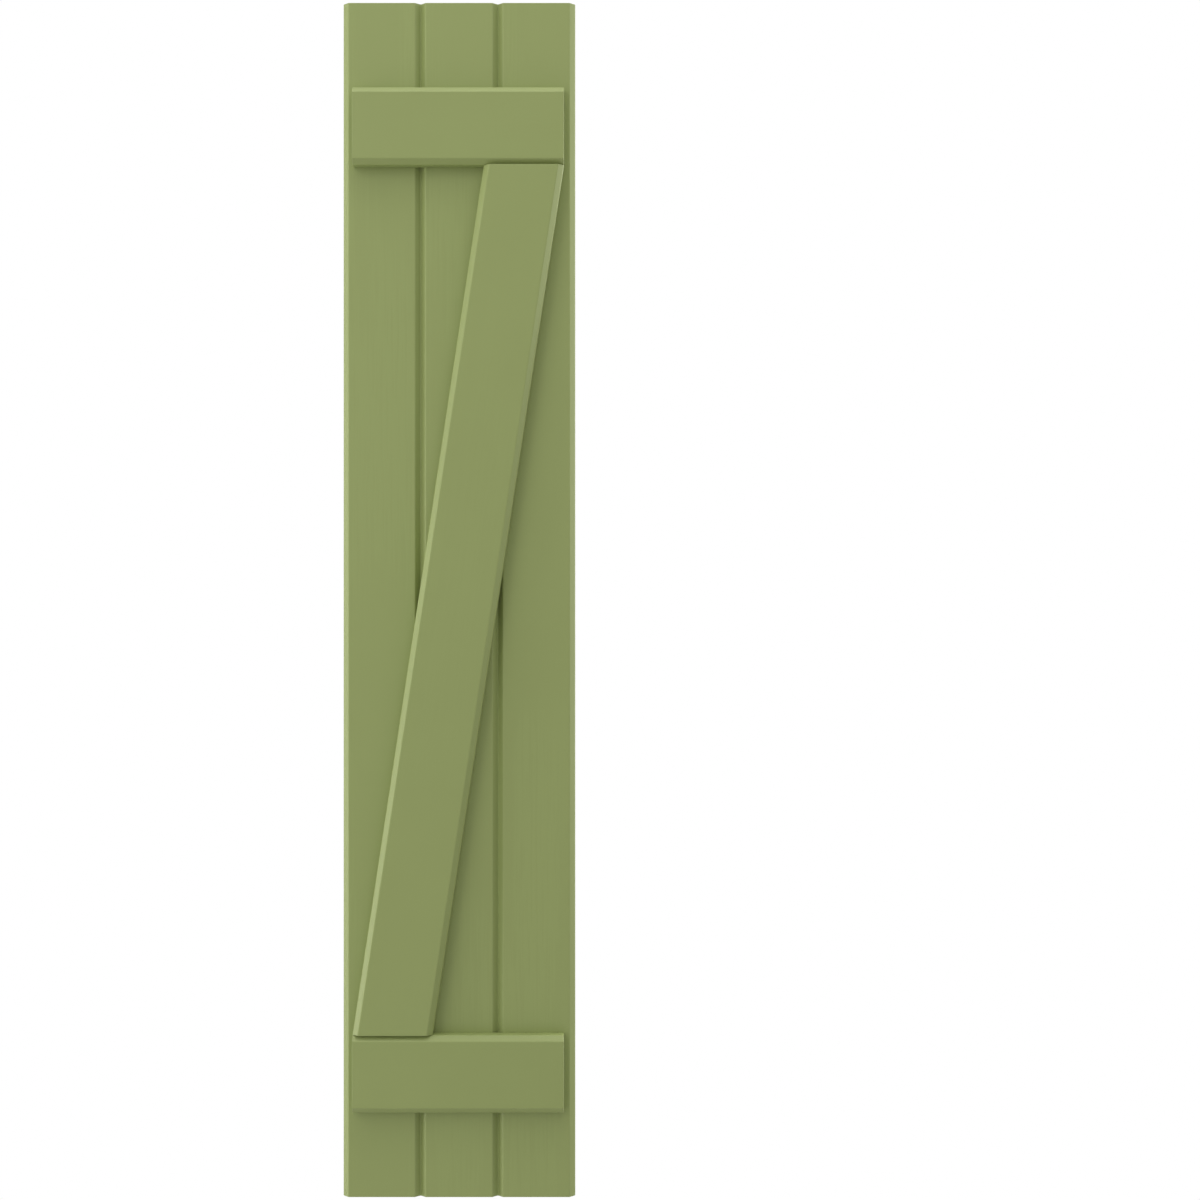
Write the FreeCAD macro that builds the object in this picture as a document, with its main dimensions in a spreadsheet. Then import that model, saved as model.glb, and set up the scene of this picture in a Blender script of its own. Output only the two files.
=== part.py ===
import FreeCAD
import Part
import Sketcher
import os

# Board and batten shutter, in millimetres. Three tongue-and-groove boards stand side by side, two
# battens cross them and a diagonal brace runs from the foot of one batten to the head of the other.
# The origin is the middle of the flat back. X runs to the right seen from the front, the front
# faces -Y and Z is up.

doc = FreeCAD.newDocument("BoardAndBattenShutter")

# Driving dimensions

DIMENSIONS = (
    ("shutter_height", 1371.6, "length of every board"),
    ("board_width", 88.9, "face width of a board, from joint line to joint line"),
    ("board_thickness", 19.05, "thickness of a board"),
    ("outer_chamfer", 6.35, "bevel on the front of the two outer long edges"),
    ("joint_chamfer", 6.0, "bevel on each of two boards that meet in a V"),
    ("back_arris", 1.2, "bevel that takes the sharpness off the long back edges"),
    ("tongue_from_back", 5.0, "from the back of a board to its tongue"),
    ("tongue_thickness", 6.0, "thickness of a tongue"),
    ("tongue_length", 7.0, "how far a tongue stands out of its board"),
    ("tongue_nose", 1.0, "bevel on the two corners of a tongue"),
    ("tongue_side_gap", 0.15, "play on each side of a tongue in its groove"),
    ("tongue_end_gap", 1.0, "room between a tongue and the bottom of its groove"),
    ("batten_width", 88.9, "height of a batten on the shutter"),
    ("batten_thickness", 19.05, "thickness of a batten"),
    ("batten_inset", 12.7, "from the shutter's side to a batten's end"),
    ("batten_from_end", 100.3, "from the shutter's end to the nearest batten edge"),
    ("batten_chamfer", 6.35, "bevel on the long front edges of a batten"),
    ("brace_width", 90.4, "width of the brace, square across it"),
    ("brace_thickness", 19.05, "thickness of the brace"),
    ("brace_chamfer", 6.35, "bevel on the long front edges of the brace"),
    ("screw_length", 31.75, "length of an assembly screw"),
    ("screw_head", 8.4, "diameter of a screw's flat head"),
    ("screw_head_angle", 82.0, "angle of the cone under the head, in degrees"),
    ("screw_sink", 0.6, "depth of the head below the back of the boards"),
    ("screw_hole", 4.5, "clearance hole through a board"),
    ("pilot_hole", 2.8, "pilot hole in a batten or the brace"),
    ("screw_from_joint", 16.0, "from a joint line to the nearest screws"),
    ("screw_from_batten_end", 20.0, "from a batten's end to its last screw"),
    ("screw_from_batten_edge", 22.0, "from a batten's long edge to a screw"),
    ("screw_from_brace_end", 35.0, "from the brace's end to its last screw"),
)

sheet = doc.addObject("Spreadsheet::Sheet", "Dimensions")
for row, (name, number, meaning) in enumerate(DIMENSIONS, start=1):
    sheet.set(f"A{row}", meaning)
    sheet.set(f"B{row}", str(number))
    sheet.setAlias(f"B{row}", name)
doc.recompute()

# Places that several pieces share, worked out from the dimensions

LAYOUT = (
    ("batten_length", "3 * Dimensions.board_width - 2 * Dimensions.batten_inset"),
    ("batten_middle", "Dimensions.shutter_height / 2 - Dimensions.batten_from_end"
                      " - Dimensions.batten_width / 2"),
    ("brace_seat", "Layout.batten_middle - Dimensions.batten_width / 2"),
    # The brace's corners line up with the battens' ends, which fixes how far it leans
    ("brace_corner_span", "hypot(2 * Layout.brace_seat; Layout.batten_length)"),
    ("brace_lean", "(acos(Dimensions.brace_width / Layout.brace_corner_span)"
                   " - atan(2 * Layout.brace_seat / Layout.batten_length)) / 1deg"),
    ("brace_slope", "tan(Layout.brace_lean * 1deg)"),
    ("brace_level_width", "Dimensions.brace_width / cos(Layout.brace_lean * 1deg)"),
    ("countersink", "Dimensions.screw_head"
                    " + 2 * Dimensions.screw_sink * tan(Dimensions.screw_head_angle * 0.5deg)"),
    ("pilot_depth", "Dimensions.screw_sink + Dimensions.screw_length - Dimensions.board_thickness"),
    # Screws: how far from the middle of the shutter they stand, across and up
    ("screw_inner", "Dimensions.board_width / 2 - Dimensions.screw_from_joint"),
    ("screw_middle", "Dimensions.board_width / 2 + Dimensions.screw_from_joint"),
    ("screw_outer", "Layout.batten_length / 2 - Dimensions.screw_from_batten_end"),
    ("screw_zigzag", "Dimensions.batten_width / 2 - Dimensions.screw_from_batten_edge"),
    ("screw_on_brace_inner", "Layout.screw_inner / Layout.brace_slope"),
    ("screw_on_brace_middle", "Layout.screw_middle / Layout.brace_slope"),
    ("screw_on_brace_outer", "Layout.brace_seat - Dimensions.screw_from_brace_end"),
)

layout = doc.addObject("App::VarSet", "Layout")
for name, expression in LAYOUT:
    layout.addProperty("App::PropertyFloat", name, "Layout")
    layout.setExpression(name, expression)
    doc.recompute()


# Helpers for bodies, sketches and holes

def new_body(label, x, y, z):
    """A body whose own origin stands at three expressions in the shutter's frame."""
    body = doc.addObject("PartDesign::Body", label)
    body.Label = label
    for axis, expression in (("x", x), ("y", y), ("z", z)):
        body.setExpression(f"Placement.Base.{axis}", expression)
    return body


def new_sketch(body, name, plane_role):
    """An empty sketch on one of the body's own origin planes."""
    plane = next(item for item in body.Origin.OriginFeatures if item.Role == plane_role)
    sketch = body.newObject("Sketcher::SketchObject", name)
    sketch.AttachmentSupport = (plane, [""])
    sketch.MapMode = "FlatFace"
    return sketch


def worked_out(expression):
    """The number that an expression stands for with the dimensions as they are."""
    return float(layout.evalExpression(expression))


def pin(sketch, geometry, point, across, up):
    """Hold one point of a sketch at two expressions, measured from the sketch's origin."""
    for kind, expression in (("DistanceX", across), ("DistanceY", up)):
        distance = Sketcher.Constraint(kind, -1, 1, geometry, point, worked_out(expression))
        number = sketch.addConstraint(distance)
        sketch.setExpression(f"Constraints[{number}]", expression)


def draw_outline(sketch, corners):
    """A closed outline of straight lines through corners given as pairs of expressions."""
    places = [FreeCAD.Vector(worked_out(across), worked_out(up), 0) for across, up in corners]
    lines = [Part.LineSegment(start, end) for start, end in zip(places, places[1:] + places[:1])]
    sketch.addGeometry(lines, False)
    for line, (across, up) in enumerate(corners):
        sketch.addConstraint(Sketcher.Constraint("Coincident", line, 2, (line + 1) % len(corners), 1))
        pin(sketch, line, 1, across, up)


def pad_through(body, sketch, length):
    """Carry a sketch half the length to each side of its plane."""
    pad = body.newObject("PartDesign::Pad", f"{body.Name}_length")
    pad.Profile = sketch
    pad.Midplane = True
    pad.setExpression("Length", length)
    doc.recompute()


def drill(body, centres, diameter):
    """Drill the body from its back face, the XZ plane, towards the front, and return the holes."""
    sketch = new_sketch(body, f"{body.Name}_screw_centres", "XZ_Plane")
    for across, up in centres:
        middle = FreeCAD.Vector(worked_out(across), worked_out(up), 0)
        round_hole = Part.Circle(middle, FreeCAD.Vector(0, 0, 1), worked_out(diameter) / 2)
        circle = sketch.addGeometry(round_hole, False)
        size = sketch.addConstraint(Sketcher.Constraint("Diameter", circle, worked_out(diameter)))
        sketch.setExpression(f"Constraints[{size}]", diameter)
        pin(sketch, circle, 3, across, up)
    doc.recompute()
    holes = body.newObject("PartDesign::Hole", f"{body.Name}_screw_holes")
    holes.Profile = sketch
    holes.Reversed = True
    holes.ThreadType = "None"
    holes.setExpression("Diameter", diameter)
    return holes


# The boards

def plain_edge(across, inwards):
    """An outer long edge, from back to front: an eased back corner and a bevel on the front."""
    return [
        (f"{across} + {inwards} * Dimensions.back_arris", "0"),
        (across, "-Dimensions.back_arris"),
        (across, "Dimensions.outer_chamfer - Dimensions.board_thickness"),
        (f"{across} + {inwards} * Dimensions.outer_chamfer", "-Dimensions.board_thickness"),
    ]


def jointed_edge(across, inwards, steps):
    """A long edge that meets another board: a tongue or groove between the back and the front bevel."""
    return [
        (f"{across} + {inwards} * Dimensions.back_arris", "0"),
        (across, "-Dimensions.back_arris"),
        *steps,
        (across, "Dimensions.joint_chamfer - Dimensions.board_thickness"),
        (f"{across} + {inwards} * Dimensions.joint_chamfer", "-Dimensions.board_thickness"),
    ]


def tongue_steps(across):
    """The corners of a tongue on a right-hand edge, from back to front, its nose bevelled."""
    back = "-Dimensions.tongue_from_back"
    front = f"{back} - Dimensions.tongue_thickness"
    nose = f"{across} + Dimensions.tongue_length"
    return [
        (across, back),
        (f"{nose} - Dimensions.tongue_nose", back),
        (nose, f"{back} - Dimensions.tongue_nose"),
        (nose, f"{front} + Dimensions.tongue_nose"),
        (f"{nose} - Dimensions.tongue_nose", front),
        (across, front),
    ]


def groove_steps(across):
    """The corners of a groove in a left-hand edge, from back to front, with play round the tongue."""
    back = "-Dimensions.tongue_from_back + Dimensions.tongue_side_gap"
    front = "-Dimensions.tongue_from_back - Dimensions.tongue_thickness - Dimensions.tongue_side_gap"
    bottom = f"{across} + Dimensions.tongue_length + Dimensions.tongue_end_gap"
    return [(across, back), (bottom, back), (bottom, front), (across, front)]


def make_board(label, place, left_edge, right_edge):
    """One full-length board. Place is where its middle stands, in board widths from the shutter's."""
    body = new_body(label, f"{place} * Dimensions.board_width", "0", "0")
    profile = new_sketch(body, f"{label}_profile", "XY_Plane")
    draw_outline(profile, right_edge + left_edge[::-1])
    pad_through(body, profile, "Dimensions.shutter_height")
    to_board = f"- ({place} * Dimensions.board_width)"
    centres = [(f"{across} {to_board}", up) for across, up in board_screws(label)]
    holes = drill(body, centres, "Dimensions.screw_hole")
    holes.DepthType = "ThroughAll"
    holes.HoleCutType = "Countersink"
    holes.HoleCutCustomValues = True
    holes.setExpression("HoleCutDiameter", "Layout.countersink")
    holes.setExpression("HoleCutCountersinkAngle", "Dimensions.screw_head_angle")
    doc.recompute()
    return body


# The battens and the brace

def long_front_edges(shape):
    """The names of the two longest edges of the front face, the one that lies furthest towards -Y."""
    front = min(shape.Faces, key=lambda face: face.CenterOfMass.y)
    long_edges = sorted(front.Edges, key=lambda edge: edge.Length)[-2:]
    return [f"Edge{number}" for number, edge in enumerate(shape.Edges, start=1)
            if any(edge.isSame(long_edge) for long_edge in long_edges)]


def make_rail(label, height, corners, thickness, chamfer, screw_centres):
    """A batten or the brace: an outline carried forward from the boards, its long front edges bevelled."""
    body = new_body(label, "0", "-Dimensions.board_thickness", height)
    outline = new_sketch(body, f"{label}_outline", "XZ_Plane")
    draw_outline(outline, corners)
    pad = body.newObject("PartDesign::Pad", f"{label}_thickness")
    pad.Profile = outline
    pad.setExpression("Length", thickness)
    doc.recompute()
    bevel = body.newObject("PartDesign::Chamfer", f"{label}_bevel")
    bevel.Base = (pad, long_front_edges(pad.Shape))
    bevel.setExpression("Size", chamfer)
    doc.recompute()
    holes = drill(body, screw_centres, "Dimensions.pilot_hole")
    holes.DepthType = "Dimension"
    holes.DrillPoint = "Flat"
    holes.setExpression("Depth", "Layout.pilot_depth")
    doc.recompute()
    return body


def batten_corners():
    """A plain rectangle about the batten's own middle."""
    right = "Layout.batten_length / 2"
    top = "Dimensions.batten_width / 2"
    return [(f"-{right}", f"-{top}"), (right, f"-{top}"), (right, top), (f"-{right}", top)]


def brace_corners():
    """A leaning piece with level ends, from the lower batten's left end to the upper one's right end."""
    right = "Layout.batten_length / 2"
    seat = "Layout.brace_seat"
    level = "Layout.brace_level_width"
    return [
        (f"-{right}", f"-{seat}"),
        (f"{level} - {right}", f"-{seat}"),
        (right, seat),
        (f"{right} - {level}", seat),
    ]


# The screws' places, across and up: two in each board at each batten, in a zigzag, and two in each
# board along the middle line of the brace

SCREWS = (
    ("left_board", "-Layout.screw_outer", "-Layout.screw_on_brace_outer"),
    ("left_board", "-Layout.screw_middle", "-Layout.screw_on_brace_middle"),
    ("middle_board", "-Layout.screw_inner", "-Layout.screw_on_brace_inner"),
    ("middle_board", "Layout.screw_inner", "Layout.screw_on_brace_inner"),
    ("right_board", "Layout.screw_middle", "Layout.screw_on_brace_middle"),
    ("right_board", "Layout.screw_outer", "Layout.screw_on_brace_outer"),
)
ZIGZAG = ("Layout.screw_zigzag", "-Layout.screw_zigzag")


def batten_screws():
    """Each screw of a batten: its place across and up from the batten's own middle."""
    return [(across, ZIGZAG[count % 2]) for count, (board, across, on_brace) in enumerate(SCREWS)]


def brace_screws():
    """Each screw of the brace: its place across and up from the shutter's middle."""
    return [(f"{on_brace} * Layout.brace_slope", on_brace) for board, across, on_brace in SCREWS]


def board_screws(label):
    """Every screw through one board: across and up from the shutter's middle."""
    owned = [board == label for board, across, on_brace in SCREWS]
    places = [place for mine, place in zip(owned, brace_screws()) if mine]
    for middle in ("Layout.batten_middle", "-Layout.batten_middle"):
        places += [(across, f"{middle} + {up}") for mine, (across, up) in zip(owned, batten_screws()) if mine]
    return places


# The shutter

left = "-Dimensions.board_width / 2"
right = "Dimensions.board_width / 2"
grooved = jointed_edge(left, "1", groove_steps(left))
tongued = jointed_edge(right, "-1", tongue_steps(right))

subparts = [
    make_board("left_board", "-1", plain_edge(left, "1"), tongued),
    make_board("middle_board", "0", grooved, tongued),
    make_board("right_board", "1", grooved, plain_edge(right, "-1")),
]
for label, height in (("top_batten", "Layout.batten_middle"), ("bottom_batten", "-Layout.batten_middle")):
    subparts.append(make_rail(label, height, batten_corners(), "Dimensions.batten_thickness",
                              "Dimensions.batten_chamfer", batten_screws()))
subparts.append(make_rail("diagonal_brace", "0", brace_corners(), "Dimensions.brace_thickness",
                          "Dimensions.brace_chamfer", brace_screws()))
doc.recompute()

# Check and write

for item in doc.Objects:
    if "Invalid" in item.State or "Error" in item.State:
        raise RuntimeError(f"{item.Name} did not build: {item.State}")
for body in subparts:
    if body.Shape.isNull() or not body.Shape.isValid() or len(body.Shape.Solids) != 1:
        raise RuntimeError(f"{body.Label} is not one valid solid")

os.makedirs("parts", exist_ok=True)
for body in subparts:
    body.Shape.exportStep(f"parts/{body.Label}.step")
    box = body.Shape.BoundBox
    size = f"{box.XLength:.2f} x {box.YLength:.2f} x {box.ZLength:.2f} mm"
    print(f"{body.Label}: {size}, {body.Shape.Volume:.0f} mm3")
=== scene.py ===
# %% [markdown]
# # A board and batten shutter
# The solids of this shutter come from its CAD model: three upright boards, two battens and a brace.
# Here each timber gets what a planed, painted timber has and a plain solid lacks: edges that the
# sandpaper and the paint have softened, a trace of grain, and a satin coat. The solids stay
# underneath as the frame, so every size below is read from them where it can be.

# %% Load the frame
import math

import bpy
import numpy as np
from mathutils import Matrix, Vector


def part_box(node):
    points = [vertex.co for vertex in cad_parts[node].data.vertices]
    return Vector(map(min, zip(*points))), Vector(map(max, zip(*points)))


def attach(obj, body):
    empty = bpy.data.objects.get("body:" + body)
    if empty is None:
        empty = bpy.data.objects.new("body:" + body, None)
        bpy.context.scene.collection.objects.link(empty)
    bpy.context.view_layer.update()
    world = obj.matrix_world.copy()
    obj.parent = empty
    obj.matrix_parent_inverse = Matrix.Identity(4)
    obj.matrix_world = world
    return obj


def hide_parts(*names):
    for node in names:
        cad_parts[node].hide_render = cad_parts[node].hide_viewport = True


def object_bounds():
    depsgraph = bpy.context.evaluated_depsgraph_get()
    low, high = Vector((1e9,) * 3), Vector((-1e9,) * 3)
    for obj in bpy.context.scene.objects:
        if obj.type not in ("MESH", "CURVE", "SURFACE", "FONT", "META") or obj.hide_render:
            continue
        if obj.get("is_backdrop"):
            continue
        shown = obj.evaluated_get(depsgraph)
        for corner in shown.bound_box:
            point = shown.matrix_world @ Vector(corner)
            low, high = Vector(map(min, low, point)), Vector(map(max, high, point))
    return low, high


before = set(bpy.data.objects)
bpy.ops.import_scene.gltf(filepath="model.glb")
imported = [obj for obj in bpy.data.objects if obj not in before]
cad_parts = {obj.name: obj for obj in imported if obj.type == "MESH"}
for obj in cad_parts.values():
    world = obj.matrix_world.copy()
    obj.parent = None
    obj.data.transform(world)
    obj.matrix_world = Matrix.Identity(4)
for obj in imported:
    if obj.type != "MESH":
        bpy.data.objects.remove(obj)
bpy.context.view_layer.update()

MM = 0.001

# %% [markdown]
# ## Where the timbers are
# The frame gives each node's box. The boards meet on two joint lines, which are the left edges of
# the middle and right boards, because only a tongue reaches past them. The bevels can't be read
# from a box, so they are written here once, as the real sizes.

# %% Read the places of the timbers
BOARD_NAMES = ("left_board", "middle_board", "right_board")
boards_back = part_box("middle_board")[1].y
boards_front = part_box("middle_board")[0].y
foot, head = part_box("middle_board")[0].z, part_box("middle_board")[1].z
edge_lines = [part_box(name)[0].x for name in BOARD_NAMES]
edge_lines.append(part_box("right_board")[1].x)
tongue_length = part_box("left_board")[1].x - edge_lines[1]
rails_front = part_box("top_batten")[0].y

OUTER_BEVEL = 6.35 * MM
JOINT_BEVEL = 6.0 * MM
RAIL_BEVEL = 6.35 * MM
BACK_ARRIS = 1.2 * MM
print("joint lines in mm:", [round(line / MM, 2) for line in edge_lines])

# %% [markdown]
# ## A softened outline
# No painted timber has a knife edge: sanding takes the corner off and the paint rounds it further.
# One way is a Bevel modifier, but it treats every edge alike. Here the cross-section itself is
# drawn with each corner turned into a short curve, so the bevels, tongues and grooves can each have
# their own softness.

# %% Draw an outline with eased corners
EASE_STEPS = 5
SIDE_PARTS = 3
INWARD_SHARE = 0.6


def eased_outline(corners, ease):
    """A closed outline whose corners are rounded, and how far each of its points may move inwards.

    Each corner P becomes the curve (1-t)^2 A + 2t(1-t) P + t^2 B, with t from 0 to 1. A and B lie on
    the two sides that meet in P, as far from P as the easing says, but never past a third of a side.
    A point may move inwards by a share of its corner's easing, because further in the curve would
    cross itself.
    """
    corners = np.asarray(corners, float)
    back = np.roll(corners, 1, axis=0) - corners
    on = np.roll(corners, -1, axis=0) - corners
    back_length = np.linalg.norm(back, axis=1, keepdims=True)
    on_length = np.linalg.norm(on, axis=1, keepdims=True)
    ease = np.broadcast_to(np.asarray(ease, float).reshape(-1, 1), back_length.shape)
    start = corners + back / back_length * np.minimum(ease, back_length / SIDE_PARTS)
    end = corners + on / on_length * np.minimum(ease, on_length / SIDE_PARTS)
    t = np.linspace(0, 1, EASE_STEPS)[None, :, None]
    curve = ((1 - t) ** 2 * start[:, None] + 2 * t * (1 - t) * corners[:, None]
             + t ** 2 * end[:, None])
    room = np.repeat(INWARD_SHARE * ease[:, 0], EASE_STEPS)
    return curve.reshape(-1, 2), room


def inward_normals(outline):
    """At each point, the unit vector square to the line between its two neighbours, pointing inwards."""
    along = np.roll(outline, -1, axis=0) - np.roll(outline, 1, axis=0)
    along /= np.linalg.norm(along, axis=1, keepdims=True)
    return np.column_stack([-along[:, 1], along[:, 0]])


TRIAL_EASE = 1 * MM
trial_square = np.array([(0, 0), (10, 0), (10, 10), (0, 10)]) * MM
trial_outline, trial_room = eased_outline(trial_square, TRIAL_EASE)
print("a square with eased corners has", len(trial_outline), "points")

# %% [markdown]
# ## Carrying the outline along the grain
# A moulder pushes a board past its cutters, so the same section runs from end to end. The mesh is
# made the same way: the outline is carried along the timber in rings. At each end the last few
# rings shrink a little, by a quarter circle, which eases the sawn end. The brace is sawn level
# although it leans, so its rings are sheared.

# %% Sweep a timber
RING_SPACING = 12 * MM
END_EASE = 0.5 * MM
END_STEPS = 4


def ring_faces(rings, around, copies=1):
    """Faces of closed tubes: quads between neighbouring rings and a cap on each end, copy by copy."""
    here = np.arange(around)
    after = (here + 1) % around
    base = np.arange(rings - 1)[:, None] * around
    quads = np.stack([base + here, base + after, base + around + after, base + around + here], axis=-1)
    caps = np.stack([here[::-1], here + (rings - 1) * around])
    shift = np.arange(copies)[:, None, None] * rings * around
    all_quads = quads.reshape(-1, 4) + shift
    all_caps = caps + shift
    return all_quads.reshape(-1, 4).tolist() + all_caps.reshape(-1, around).tolist()


def sweep_timber(section, across, along, middle, half_length, end_slope=0.0):
    """Vertices and faces of a timber.

    A point of ring w is middle + u * across + v * depth + (w + u * end_slope) * along, with (u, v) on
    the outline. Near the ends u and v move inwards by e(1 - sin a) while w backs off by e(1 - cos a),
    a from 0 to a right angle, but no point moves further than its corner has room for.
    """
    outline, room = section
    angle = np.linspace(0, math.pi / 2, END_STEPS)
    inset = END_EASE * (1 - np.sin(angle))
    backed_off = END_EASE * (1 - np.cos(angle))
    count = max(2, round(2 * half_length / RING_SPACING))
    inner = np.linspace(-half_length + END_EASE, half_length - END_EASE, count + 1)[1:-1]
    ring_w = np.concatenate([-half_length + backed_off, inner, (half_length - backed_off)[::-1]])
    ring_inset = np.concatenate([inset, np.zeros(len(inner)), inset[::-1]])
    moved = np.minimum(ring_inset[:, None], room[None])
    plane = outline[None] + moved[..., None] * inward_normals(outline)[None]
    depth = np.array([0.0, 1.0, 0.0])
    w = ring_w[:, None] + plane[..., 0] * end_slope
    points = (np.asarray(middle) + plane[..., 0, None] * across + plane[..., 1, None] * depth
              + w[..., None] * along)
    return points.reshape(-1, 3), ring_faces(*points.shape[:2])


X_AXIS = np.array([1.0, 0.0, 0.0])
Z_AXIS = np.array([0.0, 0.0, 1.0])
TRIAL_HALF = 50 * MM
trial_section = (trial_outline, trial_room)
trial_points, trial_faces = sweep_timber(trial_section, X_AXIS, Z_AXIS, (0, 0, 0), TRIAL_HALF)
print("a short stick would have", len(trial_points), "vertices and", len(trial_faces), "faces")

# %% [markdown]
# A mesh made this way is smooth along its eased corners and flat on its faces. Blender shades it
# well if the big flat faces decide the normals at their own edges, which is what the Weighted
# Normal modifier does.

# %% Turn arrays into pieces
SHARP_ANGLE = math.radians(40)
FLAT_WEIGHT = 80


def new_piece(name, points, faces):
    """A smooth-shaded mesh object at the origin, with its place in its vertices."""
    mesh = bpy.data.meshes.new(name)
    mesh.from_pydata(points.tolist(), [], faces)
    mesh.shade_smooth()
    piece = bpy.data.objects.new(name, mesh)
    bpy.context.scene.collection.objects.link(piece)
    return piece


def finish_shading(piece):
    """Keep sharp edges sharp, and let large faces set the normals along their edges."""
    piece.data.shade_smooth()
    piece.data.set_sharp_from_angle(angle=SHARP_ANGLE)
    weighted = piece.modifiers.new("flat_faces_first", "WEIGHTED_NORMAL")
    weighted.keep_sharp = True
    weighted.weight = FLAT_WEIGHT


print("edges stay sharp above", round(math.degrees(SHARP_ANGLE)), "degrees")

# %% [markdown]
# ## The boards
# On the front the boards' edges are bevelled, and two bevels side by side make the V line. Paint
# gathers at the bottom of the V, so it ends on a narrow flat and not in a crease. Each edge is
# written as a list of corners from the back to the front, and every corner has its own easing.

# %% Draw the long edges
ARRIS_EASE = 1.1 * MM
JOINT_PAINT = 0.45 * MM
JOINT_PAINT_EASE = 0.5 * MM
CREASE_EASE = 0.05 * MM


def outer_bevel(line, inwards):
    """The corners of the front bevel on an outer edge, from back to front, as (x, y, ease)."""
    return [
        (line, boards_front + OUTER_BEVEL, ARRIS_EASE),
        (line + inwards * OUTER_BEVEL, boards_front, ARRIS_EASE),
    ]


def joint_bevel(line, inwards):
    """The same in a joint, where the bevel ends on half of the narrow flat that the paint makes."""
    paint_level = boards_front + JOINT_BEVEL - JOINT_PAINT
    return [
        (line, paint_level, CREASE_EASE),
        (line + inwards * JOINT_PAINT, paint_level, JOINT_PAINT_EASE),
        (line + inwards * JOINT_BEVEL, boards_front, ARRIS_EASE),
    ]


def long_edge(line, inwards, steps=()):
    """The corners of a long edge, from back to front: the back arris, the joint's steps and the bevel."""
    return [
        (line + inwards * BACK_ARRIS, boards_back, ARRIS_EASE),
        (line, boards_back - BACK_ARRIS, ARRIS_EASE),
        *steps,
        *(joint_bevel(line, inwards) if steps else outer_bevel(line, inwards)),
    ]


print("an outer edge has", len(long_edge(edge_lines[0], 1)), "corners")

# %% [markdown]
# The boards are milled with a tongue on one edge and a groove on the other, so that no light shows
# between them. Both show only at the ends of the boards, but they are what holds the boards flush.
# A board's section is its left edge followed by its right edge read backwards.

# %% Draw the boards' sections
TONGUE_FROM_BACK = 5.0 * MM
TONGUE_THICKNESS = 6.0 * MM
TONGUE_NOSE = 1.0 * MM
TONGUE_PLAY = 0.15 * MM
GROOVE_ROOM = 1.0 * MM
INNER_EASE = 0.25 * MM

tongue_back = boards_back - TONGUE_FROM_BACK
tongue_front = tongue_back - TONGUE_THICKNESS


def tongue_on(line):
    """The tongue's corners, from back to front, on an edge that faces +X."""
    nose = line + tongue_length
    return [
        (line, tongue_back, INNER_EASE),
        (nose - TONGUE_NOSE, tongue_back, INNER_EASE),
        (nose, tongue_back - TONGUE_NOSE, INNER_EASE),
        (nose, tongue_front + TONGUE_NOSE, INNER_EASE),
        (nose - TONGUE_NOSE, tongue_front, INNER_EASE),
        (line, tongue_front, INNER_EASE),
    ]


def groove_in(line):
    """The groove's corners, from back to front, in an edge that faces -X."""
    bottom = line + tongue_length + GROOVE_ROOM
    return [
        (line, tongue_back + TONGUE_PLAY, INNER_EASE),
        (bottom, tongue_back + TONGUE_PLAY, INNER_EASE),
        (bottom, tongue_front - TONGUE_PLAY, INNER_EASE),
        (line, tongue_front - TONGUE_PLAY, INNER_EASE),
    ]


def board_section(number):
    """The outline of one board, counter-clockwise seen from above, with every corner eased."""
    left, right = edge_lines[number], edge_lines[number + 1]
    is_first = number == 0
    is_last = number == len(BOARD_NAMES) - 1
    left_edge = long_edge(left, 1, () if is_first else groove_in(left))
    right_edge = long_edge(right, -1, () if is_last else tongue_on(right))
    corners = np.array(left_edge + right_edge[::-1])
    return eased_outline(corners[:, :2], corners[:, 2])


sections = [board_section(number) for number in range(len(BOARD_NAMES))]
print("points round each board:", [len(outline) for outline, room in sections])

# %% [markdown]
# With the sections drawn, each board is one sweep from foot to head. Its grain runs upright, like
# the boards of a door, so the outline lies level and is carried along Z.

# %% Make the boards
board_middle = (0, 0, (foot + head) / 2)

timbers = {}
for node, section in zip(BOARD_NAMES, sections):
    points, faces = sweep_timber(section, X_AXIS, Z_AXIS, board_middle, (head - foot) / 2)
    timbers[node] = new_piece(f"painted_{node}", points, faces)
    print(timbers[node].name, len(points), "vertices")

# %% [markdown]
# ## The battens and the brace
# These are plainer: flat timbers with their two long front edges bevelled. A batten's ends are sawn
# square and the brace's level. The brace leans so far that its corners stand in line with the
# battens' ends: the span of its box is its rise times the tangent of the lean, plus its width
# divided by the cosine. The code solves that for the lean.

# %% Make the battens and the brace
BRACE_WIDTH = 90.4 * MM


def rail_section(width):
    """A flat timber's outline: width across, from the boards' front to its own, with two bevels."""
    half = width / 2
    corners = [
        (-half, boards_front),
        (-half, rails_front + RAIL_BEVEL),
        (-half + RAIL_BEVEL, rails_front),
        (half - RAIL_BEVEL, rails_front),
        (half, rails_front + RAIL_BEVEL),
        (half, boards_front),
    ]
    return eased_outline(corners, ARRIS_EASE)


for node in ("top_batten", "bottom_batten"):
    low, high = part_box(node)
    points, faces = sweep_timber(rail_section(high.z - low.z), -Z_AXIS, X_AXIS,
                                 (0, 0, (low.z + high.z) / 2), (high.x - low.x) / 2)
    timbers[node] = new_piece(f"painted_{node}", points, faces)

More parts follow.
